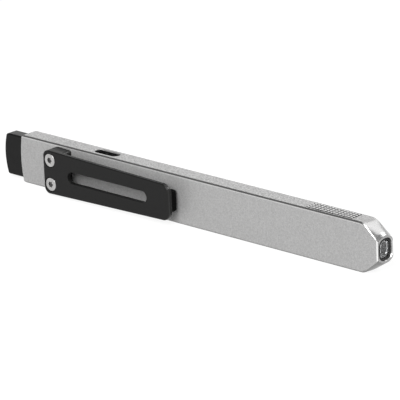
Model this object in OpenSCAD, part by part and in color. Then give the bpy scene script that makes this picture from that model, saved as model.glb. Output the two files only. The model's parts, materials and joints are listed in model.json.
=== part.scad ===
// Slim rechargeable penlight: a flat aluminium bar with a lens in its tapered nose, a pocket clip on one
// wide face, a charging socket in its upper narrow side and a push button in its tail.
// It stands on its lower narrow side. X runs from the tail to the nose, the clip is on the -Y face, Z is up.
// Every module below draws in the bar's own frame: x from the tail's apex, y and z from the bar's axis.

/* [Housing] */
// Length of the bar from the tail's apex to the front of the nose
housing_l = 136.45; // [120:0.05:160]
// Width of the bar, from narrow side to narrow side
housing_w = 14.4; // [13:0.1:18]
// Thickness of the bar, from wide face to wide face
housing_t = 5.7; // [5.4:0.1:8]
// Wall behind each wide face
side_wall = 0.8; // [0.6:0.05:1]
// Wall behind each narrow side
edge_wall = 0.9; // [0.8:0.05:1.4]
// Chamfer along the four long edges
edge_chamfer = 0.4; // [0.2:0.05:0.5]
// How far the tail bows out at its middle
tail_sag = 0.7; // [0.3:0.05:1.2]
// Rounding of the tail's corners
tail_corner_r = 0.8; // [0.4:0.1:1.5]
// Rounding of the corners of the hollow
hollow_r = 0.4; // [0.2:0.05:0.6]

/* [Nose] */
// Length of the taper
nose_l = 5.2; // [4:0.1:8]
// Width of the nose where the taper ends
tip_w = 9.2; // [7.8:0.1:9.5]
// Radius of the tip's rounded upper and lower ends, which the wide faces cut off
tip_r = 3.05; // [2.9:0.05:3.8]
// How far the rim of the tip stands ahead of the taper
tip_lead = 0.35; // [0.3:0.05:1]
// How far the rim of the tip steps in from the taper
tip_step = 0.3; // [0.2:0.05:0.45]

/* [Lens] */
// Width of the window
lens_w = 4.8; // [4.4:0.1:5.4]
// Thickness of the window across the bar
lens_t = 3.7; // [3.2:0.05:3.8]
// Rounding of the window's corners
lens_r = 1.4; // [1:0.05:1.5]
// Depth of the window along the bar
lens_l = 1.4; // [1:0.1:2]
// How far the window lies behind the rim
lens_recess = 0.55; // [0.3:0.05:1]
// Wall of the gasket round the window
gasket_wall = 0.6; // [0.25:0.05:0.65]
// Ledge that the window rests on
lens_ledge = 0.2; // [0.15:0.05:0.3]
// Wall of the reflector
reflector_wall = 0.3; // [0.2:0.05:0.4]
// Length of the reflector's tube
reflector_l = 9.9; // [8:0.1:12]

/* [Grip patch] */
// Start of the patch, from the tail
grip_x = 110; // [100:0.1:112]
// Count of studs along the bar
grip_count = 16; // [8:1:18]
// Count of studs across the bar
grip_rows = 4; // [3:1:4]
// Spacing of the studs
grip_pitch = 1.02; // [0.8:0.01:1.1]
// Height of the studs
grip_h = 0.3; // [0.2:0.05:0.4]
// Flat top of a stud
grip_top = 0.7; // [0.3:0.05:0.8]

/* [Charging socket] */
// Place of the socket, from the tail
port_x = 32.9; // [31:0.1:40]
// Length of the socket's shell
shell_w = 8.94; // [8.94:0.01:9.2]
// Thickness of the socket's shell
shell_t = 3.26; // [3.1:0.01:3.26]
// Depth of the socket's shell
shell_depth = 7.35; // [7:0.05:8]
// Sheet that the shell is made of
shell_sheet = 0.3; // [0.2:0.05:0.35]
// Bevel round the cut-out in the housing
port_bevel = 0.25; // [0.1:0.05:0.35]
// Length of the contact tongue
tongue_w = 6.69; // [6:0.01:7]
// Thickness of the contact tongue
tongue_t = 0.7; // [0.6:0.05:0.8]
// How far the tongue stays below the mouth
tongue_setback = 0.9; // [0.5:0.05:1.2]

/* [Pocket clip] */
// Start of the clip, from the tail
clip_x = 13.8; // [13:0.1:16]
// Length of the clip
clip_l = 49.75; // [40:0.05:60]
// How far the clip's root stays inside each narrow side
clip_margin = 0.7; // [0.4:0.05:1]
// How much the clip narrows on each side towards its free end
clip_taper = 1.15; // [0.5:0.05:2]
// Thickness of the clip's plate
clip_plate = 1.2; // [1.1:0.05:1.6]
// Gap between the plate and the housing
clip_gap = 3.2; // [1.8:0.05:3.4]
// Length of the root block that stands on the housing
clip_root_l = 7.2; // [6.8:0.1:9]
// Rounding of the corners at the root
clip_root_r = 2; // [1:0.1:2.5]
// Rounding of the root block's inner corners
root_end_r = 0.8; // [0.4:0.1:1.2]
// Rounding of the corners at the free end
clip_free_r = 2.8; // [1:0.1:4]
// Bevel round the plate's outer face
clip_bevel = 0.3; // [0.1:0.05:0.35]
// Start of the slot, from the clip's start
slot_start = 9.7; // [9:0.1:12]
// Length of the slot
slot_l = 31.2; // [20:0.1:34]
// Width of the slot
slot_w = 3.4; // [2:0.1:4]
// Gap that the pad under the free end leaves above the housing
pad_gap = 0.4; // [0.3:0.05:0.8]
// Length of the pad along the clip
pad_l = 3; // [2.8:0.1:4]
// Width of the pad across the clip
pad_w = 5.8; // [4:0.1:6]
// Rounding of the pad
pad_r = 1.2; // [0.6:0.1:1.3]
// How far the pad stays behind the clip's free end
pad_setback = 0.4; // [0.3:0.1:1]

/* [Clip screws] */
// Place of the screws, from the clip's start
screw_inset = 2.55; // [2.5:0.05:3]
// Distance of the screws from the narrow sides
screw_edge = 3.6; // [3.2:0.05:3.7]
// Diameter of a screw's head
head_d = 4; // [3.6:0.1:4.2]
// Height of a screw's head
head_h = 0.9; // [0.8:0.05:1]
// Diameter of a screw's shank
shank_d = 2; // [1.8:0.1:2.2]
// Room round a screw's head
head_gap = 0.15; // [0.1:0.05:0.2]
// Room round a screw's shank in the clip and in the housing
shank_gap = 0.1; // [0.05:0.05:0.2]
// Thickness of the threaded plate inside the wall
nut_t = 1.2; // [1:0.1:1.4]
// Length of the threaded plate along the bar
nut_l = 5; // [4:0.1:5.5]

/* [Tail button] */
// How far the button stands out of the tail
button_out = 7.7; // [5:0.1:9]
// How far the button's end bows out at its middle
button_sag = 1; // [0.5:0.05:1.4]
// Rounding of the corners of the button's end
button_corner_r = 0.8; // [0.4:0.1:1.5]
// Rounding of the button's long edges
button_edge_r = 0.5; // [0.3:0.05:0.8]
// How deep the button's skirt goes into the tail
button_in = 2.2; // [2:0.1:3]
// Travel of the button
button_travel = 0.8; // [0.5:0.05:1.2]
// Room round the button
button_gap = 0.1; // [0.08:0.01:0.14]
// Width of the seal's groove along the bar
seal_l = 0.6; // [0.5:0.05:0.7]
// Depth of the seal's groove
seal_depth = 0.35; // [0.25:0.05:0.4]
// Diameter of the button's post
post_d = 1.7; // [1.4:0.05:1.8]
// Thickness of a snap leg
leg_t = 0.7; // [0.5:0.05:0.8]
// Breadth of a snap leg across the bar
leg_b = 1.9; // [1.4:0.1:2]
// How far a snap leg's hook stands out
hook_h = 0.8; // [0.5:0.05:0.9]
// Length of a snap leg's hook
hook_l = 1; // [0.8:0.05:1.2]
// Outer diameter of a return spring
spring_d = 1.9; // [1.6:0.05:2]
// Wire of a return spring
spring_wire = 0.25; // [0.2:0.01:0.3]
// Turns of a return spring
spring_turns = 4; // [3:0.5:5]
// Free length of a snap leg behind the cross wall
leg_free = 1.9; // [1.5:0.1:2.5]
// Depth of a spring's pocket
spring_pocket = 1; // [0.8:0.05:1.2]

/* [Tail frame] */
// Thickness of the frame's cross wall
bulkhead_t = 2; // [1.6:0.1:2.4]
// Thickness of the frame's two side rails
rail_t = 0.8; // [0.6:0.05:0.9]
// Length of the rails past the snap hooks
rail_past = 3; // [2:0.1:3.2]

/* [Switch] */
// Length of the switch's body along the bar
switch_l = 3; // [2.6:0.1:3.6]
// Width of the switch's body
switch_w = 4; // [3:0.1:4.4]
// Height of the switch's body on the board
switch_h = 1.9; // [1.7:0.05:1.95]
// Diameter of the plunger
plunger_d = 1.4; // [1:0.05:1.5]
// How far the plunger stands out of the switch
plunger_out = 0.9; // [0.85:0.05:1.1]
// How far the plunger reaches into the switch
plunger_in = 0.7; // [0.5:0.05:0.8]

/* [Board and cell] */
// Thickness of the tray
tray_t = 0.55; // [0.4:0.05:0.6]
// Diameter of the tray's two pillars
pillar_d = 2.4; // [2:0.1:2.6]
// Thickness of the main board
board_t = 0.8; // [0.6:0.05:1]
// Length of the main board past the socket's shell
board_past_port = 12.8; // [11:0.1:15]
// Thickness of the protection board
guard_t = 0.8; // [0.6:0.05:1]
// Free length of the cell's strips
tab_l = 1; // [0.6:0.1:1.6]
// Thickness of the cell's strips
tab_t = 0.15; // [0.1:0.05:0.2]
// Width of the cell's strips
tab_w = 2; // [1:0.1:2.5]
// Distance of the strips from the cell's edges
tab_inset = 0.9; // [0.5:0.1:1.5]
// Thickness of the foam tape under the cell
pad_t = 0.2; // [0.1:0.05:0.3]
// How far the tape stays inside the cell's edges
pad_margin = 1; // [0.5:0.1:2]
// Rounding of the cell's long edges
cell_r = 0.6; // [0.3:0.1:1]
// Diameter of the emitter's leads
wire_d = 0.8; // [0.6:0.05:0.9]
// Distance of the lower lead from the hollow's upper side
wire_inset = 2.4; // [2.2:0.05:2.8]
// Length of the leads that lies on the main board
solder_l = 6; // [4:0.1:8]

/* [Board components] */
// Side of the charge chip
charge_chip = 3; // [2:0.1:4]
// Height of the charge chip
charge_chip_h = 0.8; // [0.5:0.05:1]
// Length of the driver chip across the board
driver_chip = 4; // [3:0.1:4.5]
// Height of the driver chip
driver_chip_h = 0.9; // [0.5:0.05:1]
// Side of the coil
coil_side = 4; // [3:0.1:4.4]
// Height of the coil
coil_h = 1.6; // [1:0.05:2]
// Length of a small component
small_l = 1; // [0.6:0.05:1.2]
// Width and height of a small component
small_w = 0.5; // [0.3:0.05:0.6]
// Spacing of the small components
small_step = 1.6; // [1.4:0.05:2]
// Distance of the components from the board's edges
board_margin = 1; // [0.5:0.1:1.5]

/* [Emitter] */
// Thickness of the emitter's board
led_board_t = 0.8; // [0.6:0.05:1]
// Length of the heat spreader
spreader_l = 8; // [6:0.1:12]
// Width of the emitter's base
led_w = 2.2; // [1.6:0.1:2.4]
// Height of the emitter's base
led_base = 0.4; // [0.3:0.05:0.5]
// Radius of the emitter's dome
led_dome_r = 0.75; // [0.5:0.05:0.8]
// Thickness of the reflector's flange
flange_t = 1.2; // [1:0.05:1.5]
// How far the flange reaches past the reflector's tube
flange_lip = 1; // [0.6:0.05:1.5]
// How far the emitter's board stays inside the hollow's narrow sides
led_board_inset = 0.5; // [0.2:0.05:0.8]

/* [Hidden] */
$fn = 48;

// Clearances
// Room that lets a fixed piece slide into the hollow
fit = 0.05;
// Room between two pieces that only face each other
air = 0.1;
// Room between a moving piece and its guide
run = 0.15;
// Room between the seal and the wall that it wipes
wipe = 0.03;
// Overshoot of a cut past the face that it opens
past = 1;

// The hollow of the bar
hollow_w = housing_w - 2 * edge_wall;
hollow_t = housing_t - 2 * side_wall;
front_y = -housing_t / 2;
inner_front_y = -hollow_t / 2;
half_in = hollow_w / 2 - fit;
half_in_t = hollow_t / 2 - fit;

// The nose, from the front backwards
taper_x = housing_l - tip_lead;
nose_x = taper_x - nose_l;
lens_front_x = housing_l - lens_recess;
lens_back_x = lens_front_x - lens_l;
pocket_w = lens_w + 2 * gasket_wall;
pocket_t = lens_t + 2 * gasket_wall;
bore_w = lens_w - 2 * lens_ledge;
bore_t = lens_t - 2 * lens_ledge;
bore_r = lens_r - lens_ledge;
shoulder_x = lens_back_x - reflector_l;
flange_x = shoulder_x - flange_t;
led_board_x = flange_x - led_board_t;
spreader_x = led_board_x - spreader_l;

// The layers across the bar, from the back wall to the front
tray_back_y = half_in_t;
tray_y = tray_back_y - tray_t;
board_y = tray_y - board_t;
switch_y = board_y - switch_h / 2;
nut_y = inner_front_y + nut_t;

// The tail, from the button inwards; the seal lies behind the bow, where the wall is whole all round
seal_x = tail_sag + 2 * air;
bulkhead_x = button_in + button_travel + 4 * air;
bulkhead_end = bulkhead_x + bulkhead_t;
rail_z = half_in - rail_t;
switch_x = bulkhead_end + 4 * air;
plunger_x = switch_x - plunger_out;
plunger_l = plunger_out + plunger_in;
leg_z = rail_z - 3.5 * air - leg_t;
leg_y = board_y - 2.5 * air - leg_b;
post_room = post_d / 2 + 2 * run;
spring_z = (post_room + leg_z - run) / 2;
hook_x = bulkhead_end + leg_free;
catch_end = hook_x + hook_l + button_travel + run;
rail_end = catch_end + rail_past;
board_tail_half = rail_z - 2.5 * air;

// The clip and its screws
clip_root_w = housing_w - 2 * clip_margin;
clip_free_w = clip_root_w - 2 * clip_taper;
screw_spacing = housing_w - 2 * screw_edge;
plate_y = front_y - clip_gap;
clip_y = plate_y - clip_plate;
clip_end = clip_x + clip_l;
screw_x = clip_x + screw_inset;
head_y = clip_y + head_h;
nut_x = screw_x - nut_l / 2;
recess_d = head_d * 0.5;
recess_depth = head_h * 0.6;

// The board, the cell and the leads, along the bar
tray_x = rail_end + air;
board_half = half_in - 3.5 * air;
board_end = port_x + shell_w / 2 + board_past_port;
rib_x = board_end + 3 * air;
rib_t = 0.5;
guard_x = rib_x + rib_t + 2 * air;
cell_x = guard_x + guard_t + tab_l;
cell_end = spreader_x - 5 * air;
wire_z1 = half_in - wire_inset;
wire_z2 = wire_z1 + wire_d + air;
wire_y = board_y - wire_d / 2 - fit / 2;
cell_top = wire_z1 - wire_d / 2 - air;
wire_x = board_end - solder_l;

// The socket
shell_top = hollow_w / 2 - air;
shell_floor = shell_top - shell_depth;
ear_l = 1;

// Where the components beside the screws and past the socket start, and the row of small ones above them
charge_x = screw_x + pillar_d / 2 + board_margin + small_step + charge_chip / 2;
port_end = port_x + shell_w / 2 + ear_l + board_margin;
chip_z = board_margin - board_half;
row_z = chip_z + max(driver_chip, coil_side) + small_w;

// Colours
silver = "#b9bcc0";
black = "#2b2b2d";
steel = "#cfd1d4";
green = "#1f6b3a";
white = "#f1efe8";

// Puts what is drawn in the bar's own frame into the part's frame: the middle of the lower side at the origin
module standing() translate([-housing_l / 2, 0, housing_w / 2]) children();

// Extrudes a shape drawn across the bar (y, z) from x0 to x1
module along_x(x0, x1) translate([x0, 0, 0]) rotate([90, 0, 90]) linear_extrude(x1 - x0) children();

// Extrudes a shape drawn on a wide face (x, z) from y0 to y1
module along_y(y0, y1) translate([0, y1, 0]) rotate([90, 0, 0]) linear_extrude(y1 - y0) children();

// Extrudes a shape drawn on a narrow side (x, y) from z0 to z1
module along_z(z0, z1) translate([0, 0, z0]) linear_extrude(z1 - z0) children();

// A box between two corners
module box(low, high) translate(low) cube(high - low);

// A rectangle round the origin with rounded corners
module round_rect(w, h, r) {
    square([w - 2 * r, h], center = true);
    square([w, h - 2 * r], center = true);
    for (x = [-1, 1], y = [-1, 1]) translate([x * (w / 2 - r), y * (h / 2 - r)]) circle(r);
}

// A bar outline whose left end bows out by sag and has corners of radius r, from the apex to x1
module bowed_outline(apex, x1, h, sag, r) {
    big = (h * h / 4 + sag * sag) / (2 * sag);
    centre = apex + big;
    corner_x = centre - sqrt(pow(big - r, 2) - pow(h / 2 - r, 2));
    reach = atan2(h / 2 - r, centre - corner_x);
    side = 2 * big;
    translate([corner_x, -h / 2]) square([x1 - corner_x, h]);
    for (s = [-1, 1]) translate([corner_x, s * (h / 2 - r)]) circle(r);
    intersection() {
        translate([centre, 0]) circle(big);
        polygon([[centre, 0], [centre - side, side * tan(reach)], [centre - side, -side * tan(reach)]]);
        translate([apex, -h / 2]) square([x1 - apex, h]);
    }
}

// The cross-section of the bar
module bar_section() {
    w = housing_w / 2;
    t = housing_t / 2;
    c = edge_chamfer;
    difference() {
        square([housing_t, housing_w], center = true);
        for (a = [-1, 1], b = [-1, 1]) polygon([[a * t, b * w], [a * (t - c), b * w], [a * t, b * (w - c)]]);
    }
}

// The shape at the end of the nose: round above and below, drawn in by inset, and cut off by the wide faces
module tip_section(inset) intersection() {
    union() {
        for (s = [-1, 1]) translate([0, s * (tip_w / 2 - tip_r)]) circle(tip_r - inset);
        square([2 * (tip_r - inset), tip_w - 2 * tip_r], center = true);
    }
    square([housing_t, tip_w], center = true);
}

// The cross-section of the hollow, smaller by gap all round
module hollow_section(gap) round_rect(hollow_t - 2 * gap, hollow_w - 2 * gap, hollow_r);

// The taper from the bar's section to the rounded tip
module nose() {
    slab = 0.02;
    hull() {
        along_x(nose_x - 1, nose_x) bar_section();
        along_x(taper_x - slab, taper_x) tip_section(0);
        along_x(housing_l - slab, housing_l) tip_section(tip_step);
    }
}

// A row of ridges with flat tops, drawn on its side
module ridges(count) {
    foot = (grip_pitch - grip_top) / 2;
    head = foot + grip_top;
    for (i = [0:count - 1]) translate([i * grip_pitch, 0])
        polygon([[0, -fit], [0, 0], [foot, grip_h], [head, grip_h], [grip_pitch, 0], [grip_pitch, -fit]]);
}

// The patch of studs on the upper narrow side: ridges along the bar meeting ridges across it
module grip_patch() {
    l = grip_count * grip_pitch;
    w = grip_rows * grip_pitch;
    translate([grip_x, 0, housing_w / 2]) intersection() {
        along_y(-w / 2, w / 2) ridges(grip_count);
        translate([0, -w / 2, 0]) along_x(0, l) ridges(grip_rows);
    }
}

// The outline of the charging cut-out, larger by grow all round
module port_outline(grow) {
    t = shell_t + 2 * grow;
    translate([port_x, 0]) round_rect(shell_w + 2 * grow, t, t / 2 - fit);
}

module housing() color(silver) standing() difference() {
    union() {
        intersection() {
            along_x(-past, nose_x - 1) bar_section();
            along_y(-housing_t, housing_t) bowed_outline(0, nose_x, housing_w, tail_sag, tail_corner_r);
        }
        nose();
        grip_patch();
    }
    along_x(-2 * past, shoulder_x) hollow_section(0);
    along_x(shoulder_x - past, lens_back_x + past) round_rect(bore_t, bore_w, bore_r);
    along_x(lens_back_x, housing_l + past) round_rect(pocket_t, pocket_w, lens_r + gasket_wall);
    along_z(0, housing_w) port_outline(0);
    hull() {
        along_z(housing_w / 2 - port_bevel, housing_w / 2) port_outline(0, $fn = 32);
        along_z(housing_w / 2, housing_w / 2 + fit) port_outline(port_bevel, $fn = 32);
    }
    screw_places() along_y(front_y - past, inner_front_y + past) circle(d = shank_d + 2 * shank_gap);
}

// Repeats what is drawn at the two screws' places on the wide face
module screw_places() for (s = [-1, 1]) translate([screw_x, 0, s * screw_spacing / 2]) children();

module lens() color([0.85, 0.9, 0.95, 0.5]) standing()
    along_x(lens_back_x, lens_front_x) round_rect(lens_t - fit, lens_w - fit, lens_r);

module lens_gasket() color(black) standing() along_x(lens_back_x, lens_front_x + air) difference() {
    round_rect(pocket_t - fit, pocket_w - fit, lens_r + gasket_wall);
    round_rect(lens_t, lens_w, lens_r);
}

module reflector() color(steel) standing() difference() {
    flange_w = bore_w + 2 * flange_lip;
    mouth_t = bore_t - fit - 2 * reflector_wall;
    mouth_w = bore_w - fit - 2 * reflector_wall;
    union() {
        along_x(flange_x, shoulder_x - fit) square([hollow_t - 4 * fit, flange_w], center = true);
        along_x(shoulder_x - past / 2, lens_back_x - fit) round_rect(bore_t - fit, bore_w - fit, bore_r);
    }
    along_x(flange_x - past, flange_x + led_base + air) square(led_w + 2 * air, center = true);
    hull() {
        along_x(flange_x + led_base, flange_x + led_base + air) circle(led_dome_r + 2 * air, $fn = 32);
        along_x(lens_back_x - air, lens_back_x + past)
            round_rect(mouth_t, mouth_w, bore_r - reflector_wall, $fn = 32);
    }
}

module led_emitter() color("#e8d27a") standing() {
    along_x(flange_x, flange_x + led_base) square(led_w, center = true);
    translate([flange_x + led_base, 0, 0]) rotate([0, 90, 0]) rotate_extrude() intersection() {
        circle(led_dome_r);
        square(led_dome_r);
    }
}

module led_board() color(white) standing()
    along_x(led_board_x, flange_x) round_rect(hollow_t - 4 * fit, hollow_w - 2 * led_board_inset, hollow_r);

module heat_spreader() color(silver) standing() difference() {
    along_x(spreader_x, led_board_x) hollow_section(fit);
    box([spreader_x - past, wire_y - wire_d, wire_z1 - wire_d],
        [led_board_x + past, housing_t, wire_z2 + wire_d]);
}

// A lead from its solder pad on the main board to the emitter's board
module lead(z) standing() translate([wire_x, wire_y, z]) rotate([0, 90, 0])
    cylinder(d = wire_d, h = led_board_x - wire_x);

module led_wire_positive() color("#b3261e") lead(wire_z2);

module led_wire_negative() color("#222222") lead(wire_z1);

// The room that the socket's shell takes in the board and in the tray
module shell_room() box([port_x - shell_w / 2 - run, -housing_t, shell_floor - run],
    [port_x + shell_w / 2 + run, housing_t, housing_w]);

module chassis() color("#3a3a3c") standing() {
    difference() {
        intersection() {
            along_x(tray_x, spreader_x - air) hollow_section(fit);
            box([tray_x, tray_y, -housing_w], [spreader_x, housing_t, housing_w]);
        }
        shell_room();
    }
    box([rib_x, inner_front_y + 2 * air, -half_in + hollow_r], [rib_x + rib_t, tray_y + fit, cell_top]);
    screw_places() along_y(nut_y, tray_y + fit) circle(d = pillar_d);
}

module main_board() color(green) standing() difference() {
    along_y(board_y, tray_y) union() {
        translate([switch_x, -board_tail_half]) square([tray_x + past - switch_x, 2 * board_tail_half]);
        translate([tray_x, -board_half]) square([board_end - tray_x, 2 * board_half]);
    }
    screw_places() along_y(board_y - past, tray_y + past) circle(d = pillar_d + 2 * run);
    shell_room();
}

// A chip on the board's face: its middle on the bar, its sides and its height
module chip(x, z, w, d, h) box([x - w / 2, board_y - h, z - d / 2], [x + w / 2, board_y, z + d / 2]);

module driver_inductor() color("#4a4a4a") standing() difference() {
    x = board_end - board_margin - coil_side / 2;
    z = chip_z + coil_side / 2;
    chip(x, z, coil_side, coil_side, coil_h);
    translate([x, board_y - coil_h - air, z]) rotate([-90, 0, 0])
        cylinder(d = coil_side - board_margin, h = 2 * air);
}

module driver_chips() color("#1c1c1e") standing() {
    z = chip_z + driver_chip / 2;
    chip(charge_x, 0, charge_chip, charge_chip, charge_chip_h);
    chip(port_end + charge_chip / 2, z, charge_chip, driver_chip, driver_chip_h);
}

module driver_passives() color("#b59a6a") standing() {
    for (i = [-1:1], s = [-1, 1])
        chip(charge_x + i * small_step, s * (charge_chip + small_step) / 2, small_w, small_l, small_w);
    for (i = [0:4]) chip(port_end + i * small_step, row_z, small_l, small_w, small_w);
}

// The outline of the socket's shell, smaller by inset all round
module shell_outline(inset) {
    t = shell_t - 2 * inset;
    translate([port_x, 0]) round_rect(shell_w - 2 * inset, t, t / 2 - fit);
}

module usb_shell() color(steel) standing() {
    difference() {
        along_z(shell_floor, shell_top) shell_outline(0);
        along_z(shell_floor + shell_sheet, shell_top + past) shell_outline(shell_sheet);
    }
    for (s = [-1, 1]) translate([port_x + s * (shell_w / 2 + ear_l / 2 - fit), 0, 0])
        box([-ear_l / 2, board_y - shell_sheet, -ear_l], [ear_l / 2, board_y, ear_l]);
}

module usb_tongue() color("#161617") standing() {
    base_top = shell_floor + shell_depth * 0.3;
    along_z(shell_floor + shell_sheet, base_top) shell_outline(shell_sheet + fit);
    box([port_x - tongue_w / 2, -tongue_t / 2, base_top - fit],
        [port_x + tongue_w / 2, tongue_t / 2, shell_top - tongue_setback]);
}

module switch_body() color("#d8d8d2") standing() difference() {
    box([switch_x, board_y - switch_h, -switch_w / 2], [switch_x + switch_l, board_y, switch_w / 2]);
    translate([switch_x - past, switch_y, 0]) rotate([0, 90, 0])
        cylinder(d = plunger_d + run, h = past + plunger_l - plunger_out + button_travel + run);
}

module switch_plunger() color("#151516") standing() translate([plunger_x, switch_y, 0]) rotate([0, 90, 0])
    cylinder(d = plunger_d, h = plunger_l);

module battery_cell() color("#8f9499") standing() {
    t = tray_y - pad_t - inner_front_y - air;
    w = cell_top + half_in;
    translate([0, tray_y - pad_t - t / 2, cell_top - w / 2])
        along_x(cell_x, cell_end) round_rect(t, w, cell_r);
}

module battery_pad() color("#d9d4c5") standing()
    box([cell_x + pad_margin, tray_y - pad_t, pad_margin - half_in],
        [cell_end - pad_margin, tray_y, cell_top - pad_margin]);

module battery_protection_board() color(green) standing()
    box([guard_x, inner_front_y + 4 * air, -half_in + 4 * air],
        [guard_x + guard_t, tray_y - air, cell_top - air]);

module battery_tabs() color(steel) standing()
    for (z = [tab_inset - half_in, cell_top - tab_inset - tab_w])
        box([cell_x - tab_l, -tab_t / 2, z], [cell_x, tab_t / 2, z + tab_w]);

module tail_frame() color("#48484b") standing() difference() {
    union() {
        along_x(bulkhead_x, bulkhead_end) hollow_section(fit);
        for (s = [-1, 1]) intersection() {
            along_x(bulkhead_x, rail_end) hollow_section(fit);
            translate([0, 0, s * (rail_z + half_in)])
                cube([2 * rail_end, housing_t, 2 * half_in], center = true);
        }
    }
    translate([bulkhead_x - past, switch_y, 0]) rotate([0, 90, 0])
        cylinder(r = post_room, h = bulkhead_t + 2 * past);
    for (s = [-1, 1]) mirror([0, 0, s < 0 ? 1 : 0]) {
        translate([bulkhead_x - past, 0, spring_z]) rotate([0, 90, 0])
            cylinder(d = spring_d + 2 * run, h = past + spring_pocket);
        box([bulkhead_x - past, leg_y - run, leg_z - run],
            [bulkhead_end + past, leg_y + leg_b + run, rail_z]);
        box([hook_x - fit, leg_y - run, rail_z - past],
            [catch_end, leg_y + leg_b + run, half_in + past]);
    }
}

module nut_plate() color(steel) standing() difference() {
    box([nut_x, inner_front_y, -half_in + 6 * air], [nut_x + nut_l, nut_y, half_in - 6 * air]);
    screw_places() along_y(inner_front_y - past, nut_y + past) circle(d = shank_d + fit);
}

// A snap leg with its hook, on the upper side of the button
module snap_leg() {
    end = hook_x + hook_l;
    root = button_in - air;
    top = leg_z + leg_t;
    along_y(leg_y, leg_y + leg_b) polygon([[root, leg_z], [end, leg_z], [end, top],
        [hook_x + hook_l / 2, top + hook_h], [hook_x, top + hook_h], [hook_x, top], [root, top]]);
}

module tail_button() color(black) standing() {
    w = hollow_w - 2 * button_gap;
    t = hollow_t - 2 * button_gap;
    difference() {
        intersection() {
            along_y(-t, t) bowed_outline(-button_out, button_in, w, button_sag, button_corner_r);
            along_x(-button_out - past, button_in) round_rect(t, w, button_edge_r);
        }
        difference() {
            along_x(seal_x, seal_x + seal_l) square([2 * t, 2 * w], center = true);
            along_x(seal_x - past, seal_x + seal_l + past)
                round_rect(t - 2 * seal_depth, w - 2 * seal_depth, hollow_r);
        }
        for (s = [-1, 1]) translate([button_in - spring_pocket, 0, s * spring_z]) rotate([0, 90, 0])
            cylinder(d = spring_d + 2 * run, h = spring_pocket + past);
    }
    translate([button_in - air, switch_y, 0]) rotate([0, 90, 0])
        cylinder(d = post_d, h = plunger_x - button_in + air - wipe);
    for (s = [0, 1]) mirror([0, 0, s]) snap_leg();
}

module button_seal() color("#1b1b1c") standing() {
    w = hollow_w - 2 * button_gap - 2 * seal_depth;
    t = hollow_t - 2 * button_gap - 2 * seal_depth;
    along_x(seal_x + fit, seal_x + seal_l - fit) difference() {
        hollow_section(wipe);
        round_rect(t + fit, w + fit, hollow_r);
    }
}

// Points of a coil that rises along x, and the least distance between its neighbouring turns
coil_r = (spring_d - spring_wire) / 2;
coil_l = bulkhead_x + spring_pocket - (button_in - spring_pocket) - spring_wire - fit;
coil_pitch = coil_l / spring_turns;
function coil_point(a) = [coil_l * a / (360 * spring_turns), coil_r * cos(a), coil_r * sin(a)];
echo(least_gap_between_spring_turns = coil_pitch - spring_wire);

// One return spring as a single tube swept along its coil
module coil_spring() {
    sides = 6;
    step = 45;
    rings = spring_turns * 360 / step;
    lean = atan2(coil_pitch, 2 * PI * coil_r);
    points = [for (i = [0:rings], k = [0:sides - 1]) let (
        a = i * step,
        b = k * 360 / sides,
        out = [0, cos(a), sin(a)],
        along = [-cos(lean), -sin(a) * sin(lean), cos(a) * sin(lean)]
    ) coil_point(a) + spring_wire / 2 * (cos(b) * out + sin(b) * along)];
    last = rings * sides;
    faces = concat(
        [for (i = [0:rings - 1], k = [0:sides - 1], h = [0, 1]) let (
            a = i * sides + k,
            b = i * sides + (k + 1) % sides
        ) h == 0 ? [a, a + sides, b] : [b, a + sides, b + sides]],
        [for (k = [1:sides - 2]) [0, k, k + 1]],
        [for (k = [1:sides - 2]) [last, last + k + 1, last + k]]);
    polyhedron(points, faces);
}

module button_springs() color(steel) standing() for (s = [-1, 1])
    translate([button_in - spring_pocket + spring_wire / 2 + fit / 2, 0, s * spring_z]) coil_spring();

// The corners of the clip's outline: place along the bar, distance from its middle line, radius
function clip_corners() = [
    [clip_x + clip_root_r, clip_root_w / 2 - clip_root_r, clip_root_r],
    [clip_end - clip_free_r, clip_free_w / 2 - clip_free_r, clip_free_r]];

// The clip's outline on the wide face, drawn in by inset all round
module clip_outline(inset) hull() for (c = clip_corners(), s = [-1, 1])
    translate([c[0], s * c[1]]) circle(c[2] - inset, $fn = 32);

// The clip's plate, bevelled round its outer face
module clip_plate_solid() hull() {
    along_y(clip_y + clip_bevel, plate_y) clip_outline(0);
    along_y(clip_y, plate_y) clip_outline(clip_bevel);
}

// The clip's root block, which follows the plate's outline down to the housing
module clip_root_solid() along_y(plate_y - clip_bevel, front_y) intersection() {
    clip_outline(0);
    translate([clip_x + (clip_root_l - clip_root_r) / 2, 0])
        round_rect(clip_root_l + clip_root_r, clip_root_w, root_end_r);
}

// The rounded pad under the clip's free end, which presses on cloth
module clip_pad() {
    start = clip_end - pad_setback - pad_l;
    low = front_y - pad_gap;
    sunk = clip_plate / 2;
    translate([0, 0, -pad_w / 2]) linear_extrude(pad_w) hull() {
        translate([start, plate_y - sunk]) square([pad_l, sunk]);
        for (x = [start + pad_r, start + pad_l - pad_r]) translate([x, low - pad_r]) circle(pad_r, $fn = 48);
    }
}

module clip() color(black) standing() difference() {
    union() {
        clip_plate_solid();
        clip_root_solid();
        clip_pad();
    }
    translate([clip_x + slot_start + slot_l / 2, 0, 0]) along_y(clip_y - past, plate_y + past)
        round_rect(slot_l, slot_w, slot_w / 2 - fit);
    screw_places() {
        along_y(clip_y - past, head_y) circle(d = head_d + 2 * head_gap);
        along_y(clip_y, front_y + past) circle(d = shank_d + 2 * shank_gap);
    }
}

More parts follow.
